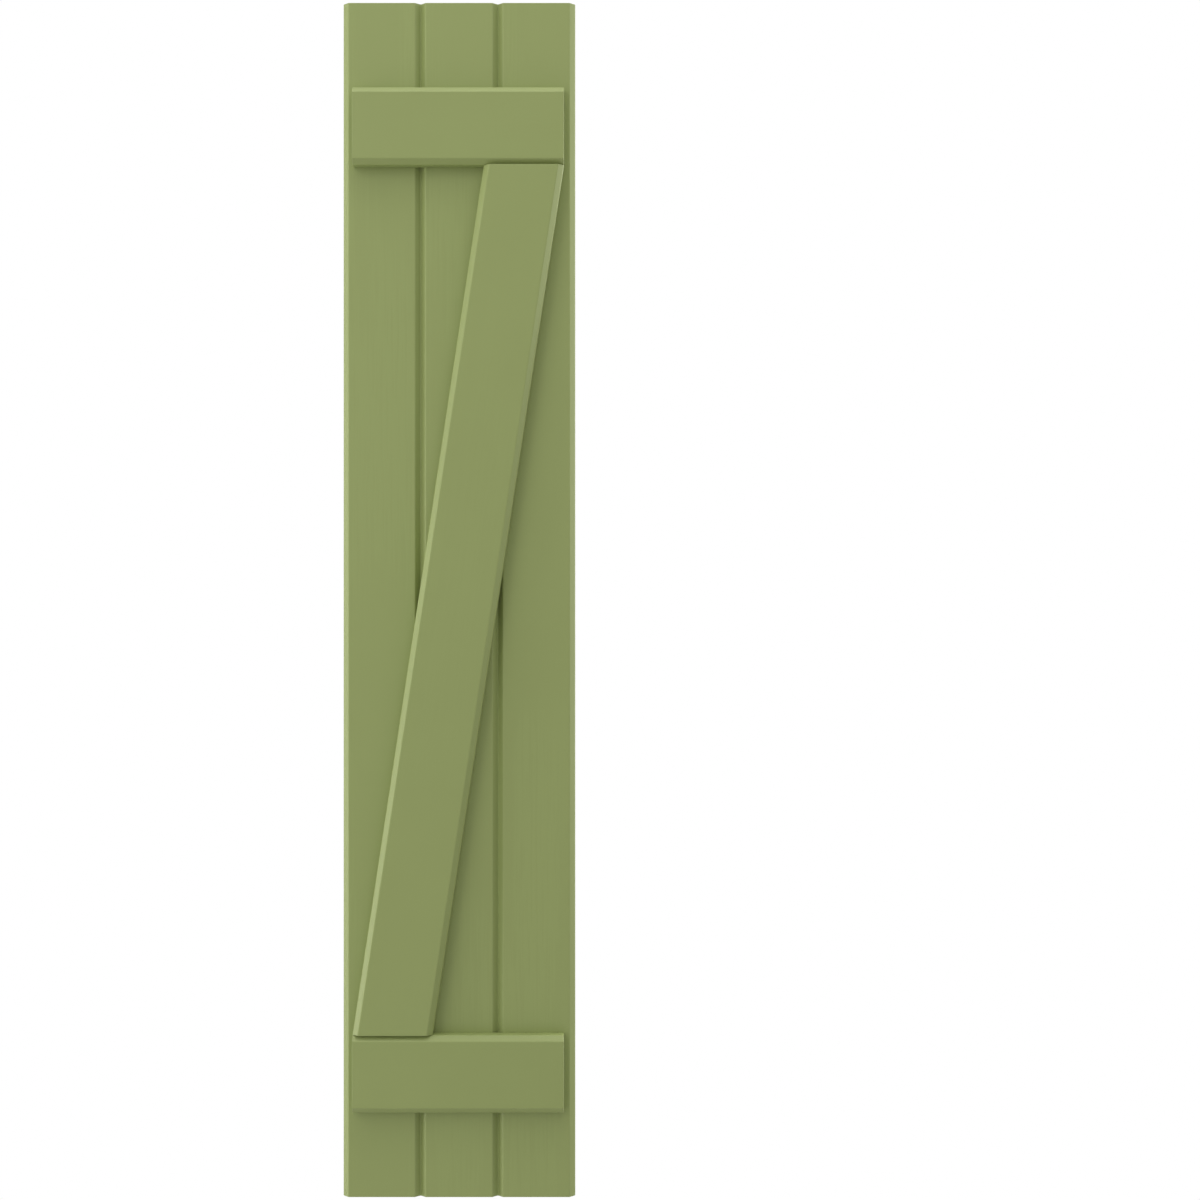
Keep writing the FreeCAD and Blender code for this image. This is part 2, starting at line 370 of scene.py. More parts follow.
low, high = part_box("diagonal_brace")
brace_span, brace_rise = high.x - low.x, high.z - low.z
corner_span = math.hypot(brace_rise, brace_span)
lean = math.acos(BRACE_WIDTH / corner_span) - math.atan2(brace_rise, brace_span)
brace_across = np.array([math.cos(lean), 0.0, -math.sin(lean)])
brace_along = np.array([math.sin(lean), 0.0, math.cos(lean)])
points, faces = sweep_timber(rail_section(BRACE_WIDTH), brace_across, brace_along, (0, 0, 0),
                             brace_rise / 2 / math.cos(lean), math.tan(lean))
timbers["diagonal_brace"] = new_piece("painted_diagonal_brace", points, faces)
print("the brace leans", round(math.degrees(lean), 3), "degrees")

# %% [markdown]
# ## The assembly screws
# The front shows no fastener, because such a shutter is screwed together from behind: two screws
# through each board into each batten, and two through each board into the brace. They are set in a
# zigzag, so that they don't split the batten along one line of its grain.

# %% Place the screws
SCREW_LENGTH = 31.75 * MM
HEAD_RADIUS = 4.2 * MM
HEAD_ANGLE = math.radians(82)
HEAD_SINK = 0.6 * MM
HOLE_RADIUS = 2.25 * MM
FROM_JOINT = 16 * MM
FROM_BATTEN_END = 20 * MM
FROM_BATTEN_EDGE = 22 * MM
FROM_BRACE_END = 35 * MM

batten_low, batten_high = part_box("top_batten")
half_board = (edge_lines[2] - edge_lines[1]) / 2
screw_outermost = batten_high.x - FROM_BATTEN_END
right_columns = np.array([half_board - FROM_JOINT, half_board + FROM_JOINT, screw_outermost])
screw_columns = np.concatenate([-right_columns[::-1], right_columns])
up_and_down = np.array([1, -1, 1, -1, 1, -1])
zigzag = ((batten_high.z - batten_low.z) / 2 - FROM_BATTEN_EDGE) * up_and_down
batten_middle = (batten_high.z + batten_low.z) / 2
brace_heights = screw_columns / math.tan(lean)
brace_heights[[0, -1]] = np.array([-1, 1]) * (brace_rise / 2 - FROM_BRACE_END)

screw_places = {
    "top_batten_screws": np.column_stack([screw_columns, batten_middle + zigzag]),
    "bottom_batten_screws": np.column_stack([screw_columns, -batten_middle + zigzag]),
    "brace_screws": np.column_stack([brace_heights * math.tan(lean), brace_heights]),
}
print({name: len(places) for name, places in screw_places.items()})

# %% [markdown]
# A screw is turned on a lathe, so its surface is a function of the angle round its axis and the
# distance along it: a radius that follows the recess, the flat head, the shank and the thread in
# turn. A modelled screw could come from a profile and a Screw modifier, but the six-lobed recess
# and the thread both depend on the angle, which a grid gives.

# %% Turn one screw
SHANK_RADIUS = 2.05 * MM
CORE_RADIUS = 1.45 * MM
THREAD_HEIGHT = 0.62 * MM
THREAD_PITCH = 2.3 * MM
POINT_LENGTH = 5.0 * MM
SMOOTH_SHARE = 0.35
RINGS_PER_TURN = 6
THREAD_SHARPNESS = 3
POINT_SHARE = 0.02
RECESS_RADIUS = 1.75 * MM
RECESS_DEPTH = 2.1 * MM
LOBE_COUNT = 6
LOBE_HEIGHT = 0.17
FLOOR_SHARE = 0.30
# The foot and the lip of the recess's wall, as shares of its depth and of its radius
WALL_FOOT = (0.86, 0.88)
WALL_LIP = (0.12, 0.94)
# The head's flat top, then its rim, which curves down to the full radius; its halfway ring is given
# as a depth and a distance from the full radius
HEAD_FLAT_SHARE = 0.62
RIM_INSET = 0.25 * MM
RIM_HALFWAY = (0.06 * MM, 0.10 * MM)
RIM_HEIGHT = 0.22 * MM
ROUND_STEPS = 48


def screw_surface():
    """The rings of one screw, its head's top at the origin and its point towards -Y.

    Each ring has a depth and a radius that may change with the angle a. The recess is r(1 + q cos 6a).
    The head is a cone, the shank a cylinder, and the thread core + h * ridge, where ridge is a sharp
    wave in depth / pitch - a / 2 pi.
    """
    angle = np.linspace(0, 2 * math.pi, ROUND_STEPS, endpoint=False)
    ones = np.ones(ROUND_STEPS)
    lobes = 1 + LOBE_HEIGHT * np.cos(LOBE_COUNT * angle)
    head_depth = (HEAD_RADIUS - SHANK_RADIUS) / math.tan(HEAD_ANGLE / 2)
    head_rings = [
        (RECESS_DEPTH, FLOOR_SHARE * RECESS_RADIUS * ones),
        (WALL_FOOT[0] * RECESS_DEPTH, WALL_FOOT[1] * RECESS_RADIUS * lobes),
        (WALL_LIP[0] * RECESS_DEPTH, WALL_LIP[1] * RECESS_RADIUS * lobes),
        (0.0, RECESS_RADIUS * lobes),
        (0.0, HEAD_FLAT_SHARE * HEAD_RADIUS * ones),
        (0.0, (HEAD_RADIUS - RIM_INSET) * ones),
        (RIM_HALFWAY[0], (HEAD_RADIUS - RIM_HALFWAY[1]) * ones),
        (RIM_HEIGHT, HEAD_RADIUS * ones),
        (RIM_HEIGHT + head_depth, SHANK_RADIUS * ones),
    ]
    smooth_end = SMOOTH_SHARE * SCREW_LENGTH
    depth = np.arange(smooth_end, SCREW_LENGTH, THREAD_PITCH / RINGS_PER_TURN)
    phase = depth[:, None] / THREAD_PITCH - angle[None] / (2 * math.pi)
    ridge = np.abs(2 * (phase % 1) - 1) ** THREAD_SHARPNESS
    taper = np.clip((SCREW_LENGTH - depth) / POINT_LENGTH, POINT_SHARE, 1)[:, None]
    start = np.clip((depth - smooth_end) / THREAD_PITCH, 0, 1)[:, None]
    radius = ((1 - start) * SHANK_RADIUS + start * CORE_RADIUS
              + start * THREAD_HEIGHT * ridge) * taper
    depths = np.concatenate([[ring[0] for ring in head_rings], depth])
    radii = np.concatenate([[ring[1] for ring in head_rings], radius])
    level = np.broadcast_to(-depths[:, None], radii.shape)
    return np.stack([radii * np.cos(angle), level, radii * np.sin(angle)], axis=-1)


one_screw = screw_surface()
print("one screw has", one_screw.shape[0], "rings of", one_screw.shape[1], "points")

# %% [markdown]
# All the screws of one batten make one mesh: the same grid of points, moved to each place and
# turned a little differently, because a driver stops where the head is tight and not where the
# lobes line up.

# %% Set the screws in the boards
TURN_STEP = 2.4


def set_of_screws(name, places, first_turn):
    """Copies of the screw at each place, each turned about its own axis by another angle."""
    turn = first_turn + TURN_STEP * np.arange(len(places))
    x, y, z = one_screw.reshape(-1, 3).T
    copies = np.stack([
        places[:, :1] + np.cos(turn)[:, None] * x - np.sin(turn)[:, None] * z,
        np.broadcast_to(boards_back - HEAD_SINK + y, (len(places), len(y))),
        places[:, 1:] + np.sin(turn)[:, None] * x + np.cos(turn)[:, None] * z,
    ], axis=-1)
    faces = ring_faces(*one_screw.shape[:2], len(places))
    return new_piece(name, copies.reshape(-1, 3), faces)


screws = []
for first_turn, (name, places) in enumerate(screw_places.items()):
    screws.append(set_of_screws(name, places, first_turn))
print({screw.name: len(screw.data.polygons) for screw in screws})

# %% [markdown]
# ## Countersinking the boards
# A countersink is a cone, cut so that the screw's head lies below the surface. The boards get
# theirs with a Boolean: one mesh of cones for each board, taken away from it, and the result kept
# as the board's own mesh. A dark disc would look the same from afar, but only a real hole takes
# light on its rim and shade at its bottom.

# %% Countersink the backs
SINK_STEPS = 48
ABOVE_BACK = 1.0 * MM


def countersinks(places):
    """Closed cutters: rings of radius r(d) at depth d, a cone that narrows to the clearance hole."""
    slope = math.tan(HEAD_ANGLE / 2)
    mouth = HEAD_RADIUS + HEAD_SINK * slope
    radius = np.array([mouth + ABOVE_BACK * slope, HOLE_RADIUS, HOLE_RADIUS])
    through = boards_back - boards_front + ABOVE_BACK
    depth = np.array([-ABOVE_BACK, (mouth - HOLE_RADIUS) / slope, through])
    angle = np.linspace(0, 2 * math.pi, SINK_STEPS, endpoint=False)
    x = places[:, 0, None, None] + radius[:, None] * np.cos(angle)
    y = np.broadcast_to(boards_back - depth[:, None], x.shape)
    z = places[:, 1, None, None] + radius[:, None] * np.sin(angle)
    points = np.stack([x, y, z], axis=-1)
    return points.reshape(-1, 3), ring_faces(len(radius), SINK_STEPS, len(places))


all_places = np.concatenate(list(screw_places.values()))
across = all_places[:, 0]
for number, node in enumerate(BOARD_NAMES):
    on_board = (across > edge_lines[number]) & (across < edge_lines[number + 1])
    cutter = new_piece(f"cutter_{node}", *countersinks(all_places[on_board]))
    board = timbers[node]
    cut = board.modifiers.new("countersinks", "BOOLEAN")
    cut.operation = "DIFFERENCE"
    cut.solver = "EXACT"
    cut.object = cutter
    graph = bpy.context.evaluated_depsgraph_get()
    drilled = bpy.data.meshes.new_from_object(board.evaluated_get(graph))
    board.modifiers.clear()
    board.data = drilled
    drilled.name = board.name
    bpy.data.objects.remove(cutter)
    print(board.name, int(on_board.sum()), "countersinks,", len(drilled.polygons), "faces")

# %% [markdown]
# ## Nodes in few words
# A material is a graph of nodes. In the editor each node is placed and wired by hand; in a script
# it would take a line for every setting. Two helpers keep that short: one adds a node with its
# settings, and one starts a group, which is a graph that several materials can use as if it were a
# single node.

# %% Make helpers for nodes
VALUE = "NodeSocketFloat"
VECTOR = "NodeSocketVector"
COLOUR = "NodeSocketColor"


def add_node(tree, kind, place, **settings):
    """A new node at a place in the editor, with its properties and the values of its sockets set."""
    node = tree.nodes.new(kind)
    node.location = place
    for key, value in settings.items():
        if key in node.bl_rna.properties:
            setattr(node, key, value)
        else:
            node.inputs[key.replace("_", " ")].default_value = value
    return node


def new_group(name, inputs, outputs):
    """A shader node group with named sockets, each given as (name, socket type), and its two end nodes."""
    group = bpy.data.node_groups.new(name, "ShaderNodeTree")
    for label, kind in inputs:
        group.interface.new_socket(label, in_out="INPUT", socket_type=kind)
    for label, kind in outputs:
        group.interface.new_socket(label, in_out="OUTPUT", socket_type=kind)
    entry = add_node(group, "NodeGroupInput", (-1000, 0))
    leave = add_node(group, "NodeGroupOutput", (700, 0))
    return group, entry, leave


print("sockets of a group:", VALUE, VECTOR, COLOUR)

# %% [markdown]
# ## Grain under paint
# Planed softwood keeps a trace of its grain through the paint: soft ridges along the board, where
# the hard late wood stands a few hundredths of a millimetre proud, and finer fibres between them.
# The ridges come and go in patches, as they do where the saw cut through the growth rings at a low
# angle. All of it is noise that is stretched along the grain, built once as a group that gives a
# height for the bump and a tone for the colour.

# %% Build the grain group
RIDGE_SCALE = (320, 320, 10.0)
PATCH_SCALE = (22, 22, 2.5)
FIBRE_SCALE = (900, 900, 14)
CREST_FROM, CREST_TO = 0.36, 0.68
PATCH_FROM, PATCH_TO = 0.44, 0.62
PATCH_WEAKEST, PATCH_STRONGEST = 0.05, 2.0


def make_grain_group():
    """Long soft ridges in patches, plus fine fibres. The vector's Z runs along the grain."""
    group, entry, leave = new_group(
        "grain_under_paint",
        [("Vector", VECTOR), ("Ridges", VALUE), ("Fibres", VALUE)],
        [("Height", VALUE), ("Tone", VALUE)],
    )
    link = group.links.new
    ridge_space = add_node(group, "ShaderNodeMapping", (-800, 300), Scale=RIDGE_SCALE)
    patch_space = add_node(group, "ShaderNodeMapping", (-800, 0), Scale=PATCH_SCALE)
    fibre_space = add_node(group, "ShaderNodeMapping", (-800, -300), Scale=FIBRE_SCALE)
    ridge = add_node(group, "ShaderNodeTexNoise", (-600, 300), Scale=1.0, Detail=4.0,
                     Roughness=0.55, Distortion=0.3)
    patch = add_node(group, "ShaderNodeTexNoise", (-600, 0), Scale=1.0, Detail=1.0)
    fibre = add_node(group, "ShaderNodeTexNoise", (-600, -300), Scale=1.0, Detail=3.0,
                     Roughness=0.6)
    crest = add_node(group, "ShaderNodeMapRange", (-350, 300), interpolation_type="SMOOTHSTEP",
                     From_Min=CREST_FROM, From_Max=CREST_TO)
    where = add_node(group, "ShaderNodeMapRange", (-350, 0), interpolation_type="SMOOTHSTEP",
                     From_Min=PATCH_FROM, From_Max=PATCH_TO,
                     To_Min=PATCH_WEAKEST, To_Max=PATCH_STRONGEST)
    patchy = add_node(group, "ShaderNodeMath", (-100, 200), operation="MULTIPLY")
    ridge_part = add_node(group, "ShaderNodeMath", (150, 200), operation="MULTIPLY")
    fibre_part = add_node(group, "ShaderNodeMath", (150, -200), operation="MULTIPLY")
    both = add_node(group, "ShaderNodeMath", (400, 0), operation="ADD")
    for space, noise in ((ridge_space, ridge), (patch_space, patch), (fibre_space, fibre)):
        link(entry.outputs["Vector"], space.inputs["Vector"])
        link(space.outputs["Vector"], noise.inputs["Vector"])
    link(ridge.outputs["Fac"], crest.inputs["Value"])
    link(patch.outputs["Fac"], where.inputs["Value"])
    link(crest.outputs["Result"], patchy.inputs[0])
    link(where.outputs["Result"], patchy.inputs[1])
    link(patchy.outputs["Value"], ridge_part.inputs[0])
    link(entry.outputs["Ridges"], ridge_part.inputs[1])
    link(fibre.outputs["Fac"], fibre_part.inputs[0])
    link(entry.outputs["Fibres"], fibre_part.inputs[1])
    link(ridge_part.outputs["Value"], both.inputs[0])
    link(fibre_part.outputs["Value"], both.inputs[1])
    link(both.outputs["Value"], leave.inputs["Height"])
    link(ridge_part.outputs["Value"], leave.inputs["Tone"])
    return group


grain_group = make_grain_group()
print("grain group with", len(grain_group.nodes), "nodes")

# %% [markdown]
# ## Sawn ends
# Across the grain the saw shows the growth rings as arcs round the tree's pith, which lay some way
# outside the board. End grain drinks the paint, so the rings stay as fine ridges and the coat looks
# a little duller there. A Wave texture in its ring form makes the arcs, and some noise keeps them
# from being perfect circles.

# %% Build the end grain group
RING_WAVE = 85.0
RING_HEIGHT = 8.0
RING_TONE = 0.5
TORN_SCALE = 1300.0
TORN_HEIGHT = 1.0
BLENDER_WAVE_FACTOR = 20


def make_end_group():
    """Growth rings round the vector's Z axis. Blender's wave repeats every 2 pi / (20 * scale) metres."""
    group, entry, leave = new_group(
        "sawn_end",
        [("Vector", VECTOR)],
        [("Height", VALUE), ("Tone", VALUE)],
    )
    link = group.links.new
    rings = add_node(group, "ShaderNodeTexWave", (-700, 150), wave_type="RINGS",
                     rings_direction="Z", wave_profile="SIN", Scale=RING_WAVE, Distortion=1.6,
                     Detail=2.0, Detail_Scale=0.4)
    torn = add_node(group, "ShaderNodeTexNoise", (-700, -200), Scale=TORN_SCALE, Detail=3.0,
                    Roughness=0.6)
    ragged = add_node(group, "ShaderNodeMapRange", (-500, -200), To_Max=TORN_HEIGHT)
    height = add_node(group, "ShaderNodeMath", (-250, 100), operation="MULTIPLY_ADD")
    height.inputs[1].default_value = RING_HEIGHT
    tone = add_node(group, "ShaderNodeMapRange", (-350, -150), To_Min=0.0, To_Max=RING_TONE)
    link(entry.outputs["Vector"], rings.inputs["Vector"])
    link(entry.outputs["Vector"], torn.inputs["Vector"])
    link(rings.outputs["Fac"], height.inputs[0])
    link(torn.outputs["Fac"], ragged.inputs["Value"])
    link(ragged.outputs["Result"], height.inputs[2])
    link(rings.outputs["Fac"], tone.inputs["Value"])
    link(height.outputs["Value"], leave.inputs["Height"])
    link(tone.outputs["Result"], leave.inputs["Tone"])
    return group


end_group = make_end_group()
ring_spacing = 2 * math.pi / (BLENDER_WAVE_FACTOR * RING_WAVE)
print("one growth ring every", round(ring_spacing / MM, 2), "mm")

# %% [markdown]
# ## The sage green coat
# The finish is a sprayed satin paint. Its colour barely changes over a board, its sheen changes a
# little more, and close up it has the faint orange-peel skin that sprayed paint dries with. All six
# timbers wear the same coat, so it is one group: the two patterns above go in, and what comes out
# are a colour, a roughness and two heights. The share of the normal that lies along the grain tells
# the sawn ends from the faces.

# %% Build the coat group
PAINT_DEEP = (0.251, 0.296, 0.0975, 1.0)
PAINT_PALE = (0.265, 0.314, 0.1053, 1.0)
GRAIN_IN_TONE = 0.6
CLOUD_SCALE = 9.0
SKIN_SCALE = 700.0
SHEEN_LEAST, SHEEN_MOST = 0.44, 0.58
SAWN_FROM, SAWN_TO = 0.80, 0.97
END_DULLNESS = 0.14


def make_coat_group():
    """Paint over wood: clouded colour, mottled sheen and a fine skin, duller on the sawn ends."""
    group, entry, leave = new_group(
        "painted_wood",
        [("Grain Place", VECTOR), ("Pith Place", VECTOR), ("Facing", VECTOR),
         ("Ridges", VALUE), ("Fibres", VALUE)],
        [("Colour", COLOUR), ("Roughness", VALUE), ("Wood Height", VALUE), ("Skin Height", VALUE)],
    )
    link = group.links.new
    facing = add_node(group, "ShaderNodeSeparateXYZ", (-750, -550))
    along = add_node(group, "ShaderNodeMath", (-550, -550), operation="ABSOLUTE")
    sawn = add_node(group, "ShaderNodeMapRange", (-350, -550), From_Min=SAWN_FROM,
                    From_Max=SAWN_TO)
    grain = add_node(group, "ShaderNodeGroup", (-750, 250), node_tree=grain_group)
    ends = add_node(group, "ShaderNodeGroup", (-750, -200), node_tree=end_group)
    cloud = add_node(group, "ShaderNodeTexNoise", (-750, 500), Scale=CLOUD_SCALE, Detail=3.0,
                     Roughness=0.5)
    skin = add_node(group, "ShaderNodeTexNoise", (-750, 0), Scale=SKIN_SCALE, Detail=2.0,
                    Roughness=0.5)
    face_tone = add_node(group, "ShaderNodeMath", (-450, 450), operation="MULTIPLY_ADD")
    face_tone.inputs[1].default_value = GRAIN_IN_TONE
    tone = add_node(group, "ShaderNodeMix", (-150, 400), data_type="FLOAT")
    height = add_node(group, "ShaderNodeMix", (-150, 150), data_type="FLOAT")
    colour = add_node(group, "ShaderNodeMix", (150, 400), data_type="RGBA", A=PAINT_DEEP,
                      B=PAINT_PALE)
    sheen = add_node(group, "ShaderNodeMapRange", (-150, -150), To_Min=SHEEN_LEAST,
                     To_Max=SHEEN_MOST)
    dull = add_node(group, "ShaderNodeMath", (150, -150), operation="MULTIPLY_ADD")
    dull.inputs[1].default_value = END_DULLNESS
    link(entry.outputs["Facing"], facing.inputs["Vector"])
    link(facing.outputs["Z"], along.inputs[0])
    link(along.outputs["Value"], sawn.inputs["Value"])
    for pattern in (grain, skin, cloud):
        link(entry.outputs["Grain Place"], pattern.inputs["Vector"])
    link(entry.outputs["Pith Place"], ends.inputs["Vector"])
    link(entry.outputs["Ridges"], grain.inputs["Ridges"])
    link(entry.outputs["Fibres"], grain.inputs["Fibres"])
    link(grain.outputs["Tone"], face_tone.inputs[0])
    link(cloud.outputs["Fac"], face_tone.inputs[2])
    for blend, on_face, on_end in ((tone, face_tone.outputs["Value"], ends.outputs["Tone"]),
                                   (height, grain.outputs["Height"], ends.outputs["Height"])):
        link(sawn.outputs["Result"], blend.inputs["Factor"])
        link(on_face, blend.inputs["A"])
        link(on_end, blend.inputs["B"])
    link(tone.outputs["Result"], colour.inputs["Factor"])
    link(skin.outputs["Fac"], sheen.inputs["Value"])
    link(sawn.outputs["Result"], dull.inputs[0])
    link(sheen.outputs["Result"], dull.inputs[2])
    link(colour.outputs["Result"], leave.inputs["Colour"])
    link(dull.outputs["Value"], leave.inputs["Roughness"])
    link(height.outputs["Result"], leave.inputs["Wood Height"])
    link(skin.outputs["Fac"], leave.inputs["Skin Height"])
    return group


coat_group = make_coat_group()
print("coat group with", len(coat_group.nodes), "nodes")

# %% [markdown]
# Each timber gets a material of its own, because its grain runs its own way and no two boards come
# from the same place in a tree. One Mapping node turns the timber's grain onto Z and moves it to
# another part of the noise, a second puts the axis of the growth rings where the pith was, and a
# third turns the normal in the same way.

# %% Build the paint
PAINT_INDEX = 1.48
WOOD_BUMP_STRENGTH, WOOD_BUMP_HEIGHT = 0.25, 0.08 * MM
SKIN_BUMP_STRENGTH, SKIN_BUMP_HEIGHT = 0.3, 0.03 * MM


def new_material(name):
    """An empty node material, its tree, and its output."""
    material = bpy.data.materials.new(name)
    material.use_nodes = True
    tree = material.node_tree
    tree.nodes.clear()
    return material, tree, add_node(tree, "ShaderNodeOutputMaterial", (800, 0))


def make_paint(name, turn, shift, pith, ridges, fibres):
    """Satin paint: turn brings the grain onto Z, shift moves the noise, pith is the rings' axis."""
    material, tree, surface = new_material(name)
    link = tree.links.new
    place = add_node(tree, "ShaderNodeTexCoord", (-800, 100))
    shape = add_node(tree, "ShaderNodeNewGeometry", (-800, -300))
    along_grain = add_node(tree, "ShaderNodeMapping", (-550, 300), Rotation=turn, Location=shift)
    from_pith = add_node(tree, "ShaderNodeMapping", (-550, 0), Rotation=turn, Location=pith)
    facing = add_node(tree, "ShaderNodeMapping", (-550, -300), vector_type="VECTOR", Rotation=turn)
    coat = add_node(tree, "ShaderNodeGroup", (-250, 100), node_tree=coat_group, Ridges=ridges,
                    Fibres=fibres)
    wood_bump = add_node(tree, "ShaderNodeBump", (0, -50), Strength=WOOD_BUMP_STRENGTH,
                         Distance=WOOD_BUMP_HEIGHT)
    skin_bump = add_node(tree, "ShaderNodeBump", (200, -150), Strength=SKIN_BUMP_STRENGTH,
                         Distance=SKIN_BUMP_HEIGHT)
    paint = add_node(tree, "ShaderNodeBsdfPrincipled", (450, 100), IOR=PAINT_INDEX)
    link(place.outputs["Object"], along_grain.inputs["Vector"])
    link(place.outputs["Object"], from_pith.inputs["Vector"])
    link(shape.outputs["Normal"], facing.inputs["Vector"])
    link(along_grain.outputs["Vector"], coat.inputs["Grain Place"])
    link(from_pith.outputs["Vector"], coat.inputs["Pith Place"])
    link(facing.outputs["Vector"], coat.inputs["Facing"])
    link(coat.outputs["Colour"], paint.inputs["Base Color"])
    link(coat.outputs["Roughness"], paint.inputs["Roughness"])
    link(coat.outputs["Wood Height"], wood_bump.inputs["Height"])
    link(coat.outputs["Skin Height"], skin_bump.inputs["Height"])
    link(wood_bump.outputs["Normal"], skin_bump.inputs["Normal"])
    link(skin_bump.outputs["Normal"], paint.inputs["Normal"])
    link(paint.outputs["BSDF"], surface.inputs["Surface"])
    return material


print("satin paint with a refractive index of", PAINT_INDEX)

# %% [markdown]
# The boards show a trace of grain; the battens and the brace are smoother. A batten's grain runs
# along X, so it is turned a quarter about Y, and the brace's is turned by its lean. After a quarter
# turn the old Z is the new X, so a batten's pith is given from its own height. Each painted timber
# stands for its solid, which is hidden.

# %% Paint the timbers
UPRIGHT = (0.0, 0.0, 0.0)
LEVEL = (0.0, math.pi / 2, 0.0)
LEANING = (0.0, -lean, 0.0)
# The strength of the ridges and of the fibres
BOARD_GRAIN = (1.0, 0.25)
RAIL_GRAIN = (0.2, 0.12)
# For each timber: how its grain is turned, where it lies in the noise, its pith, and its grain's strength
TIMBER_FINISH = {
    "left_board": (UPRIGHT, (1.5, 5.5, 8.1), (0.070, -0.050, 0), BOARD_GRAIN),
    "middle_board": (UPRIGHT, (0.7, 7.8, 7.9), (0.012, 0.075, 0), BOARD_GRAIN),
    "right_board": (UPRIGHT, (6.0, 5.5, 7.1), (-0.100, -0.062, 0), BOARD_GRAIN),
    "top_batten": (LEVEL, (1.3, 6.2, 8.8), (0.015 - batten_middle, -0.030, 0), RAIL_GRAIN),
    "bottom_batten": (LEVEL, (5.9, 2.2, 4.1), (batten_middle - 0.020, 0.085, 0), RAIL_GRAIN),
    "diagonal_brace": (LEANING, (8.2, 3.6, 6.7), (0.010, 0.090, 0), RAIL_GRAIN),
}

for node, piece in timbers.items():
    turn, shift, pith, grain = TIMBER_FINISH[node]
    piece.data.materials.clear()
    piece.data.materials.append(make_paint(f"sage_paint_{node}", turn, shift, pith, *grain))
    finish_shading(piece)
    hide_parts(node)
    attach(piece, "root")
print("painted:", sorted(timbers))

# %% [markdown]
# ## The screws' steel
# Screws for outdoor woodwork are stainless steel, and they come out of the tumbling drum dull and
# even, not polished. A metal has no colour of its own besides its reflection, so the shader is
# fully metallic, and a fine noise varies both how pale and how rough it is. That is enough for
# heads a few millimetres across, sunk in their holes.

# %% Build the steel
STEEL_GREY = (0.31, 0.31, 0.30, 1.0)
STEEL_PALE = (0.43, 0.43, 0.42, 1.0)
STEEL_MARK_SCALE = 2500.0
STEEL_SHEEN_LEAST, STEEL_SHEEN_MOST = 0.28, 0.46


def make_steel():
    """Dull stainless steel with a slightly uneven sheen."""
    material, tree, surface = new_material("screw_steel")
    link = tree.links.new
    place = add_node(tree, "ShaderNodeTexCoord", (-800, 0))
    marks = add_node(tree, "ShaderNodeTexNoise", (-550, 0), Scale=STEEL_MARK_SCALE, Detail=3.0,
                     Roughness=0.6)
    sheen = add_node(tree, "ShaderNodeMapRange", (-250, -100), To_Min=STEEL_SHEEN_LEAST,
                     To_Max=STEEL_SHEEN_MOST)
    tint = add_node(tree, "ShaderNodeMix", (-250, 150), data_type="RGBA", A=STEEL_GREY,
                    B=STEEL_PALE)
    steel = add_node(tree, "ShaderNodeBsdfPrincipled", (50, 0), Metallic=1.0)
    link(place.outputs["Object"], marks.inputs["Vector"])
    link(marks.outputs["Fac"], sheen.inputs["Value"])
    link(marks.outputs["Fac"], tint.inputs["Factor"])
    link(sheen.outputs["Result"], steel.inputs["Roughness"])
    link(tint.outputs["Result"], steel.inputs["Base Color"])
    link(steel.outputs["BSDF"], surface.inputs["Surface"])
    return material


screw_steel = make_steel()
for screw in screws:
    screw.data.materials.append(screw_steel)
    screw.data.set_sharp_from_angle(angle=SHARP_ANGLE)
    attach(screw, "root")
print("steel on", len(screws), "sets of screws")

# %% [markdown]
# ## The camera
# The photograph was taken straight from the front. Its frame is 1200 pixels wide, the shutter
# stands left of the middle, and the depth of the bevels and battens in it fits a camera a little
# over two metres away. The camera looks square at the wall from the middle of that frame, so
# upright edges stay upright.

# %% Set the camera
FRAME_PIXELS = 1200
FOCAL_PIXELS = 1950
SENSOR_WIDTH = 36.0
PIXELS_PER_MM = 0.8708
SHUTTER_AXIS_PIXEL = 459.0
distance = FOCAL_PIXELS / PIXELS_PER_MM * MM
aside = (FRAME_PIXELS / 2 - SHUTTER_AXIS_PIXEL) / PIXELS_PER_MM * MM

lens = bpy.data.cameras.new("front_camera")
lens.sensor_width = SENSOR_WIDTH
lens.lens = SENSOR_WIDTH * FOCAL_PIXELS / FRAME_PIXELS
camera = bpy.data.objects.new("front_camera", lens)
camera.location = (aside, boards_front - distance, (foot + head) / 2)
camera.rotation_euler = (math.pi / 2, 0, 0)
bpy.context.scene.collection.objects.link(camera)
bpy.context.scene.camera = camera
print("camera", round(distance, 3), "m away, lens", round(lens.lens, 1), "mm")

# %% [markdown]
# ## Studio light
# In the photograph the bevels that face up and left are the lightest and those that face down and
# right the darkest, and the shadows have no edge. That is pale surroundings that give most of the
# light, with large soft lamps above and to the left, a weaker one on the upper right, and strips at
# the sides that catch the bevels. The world makes the first and area lamps the rest. Two lamps
# stand behind the shutter: one catches its right-hand edges, and one lights its back, which the
# photograph doesn't show.

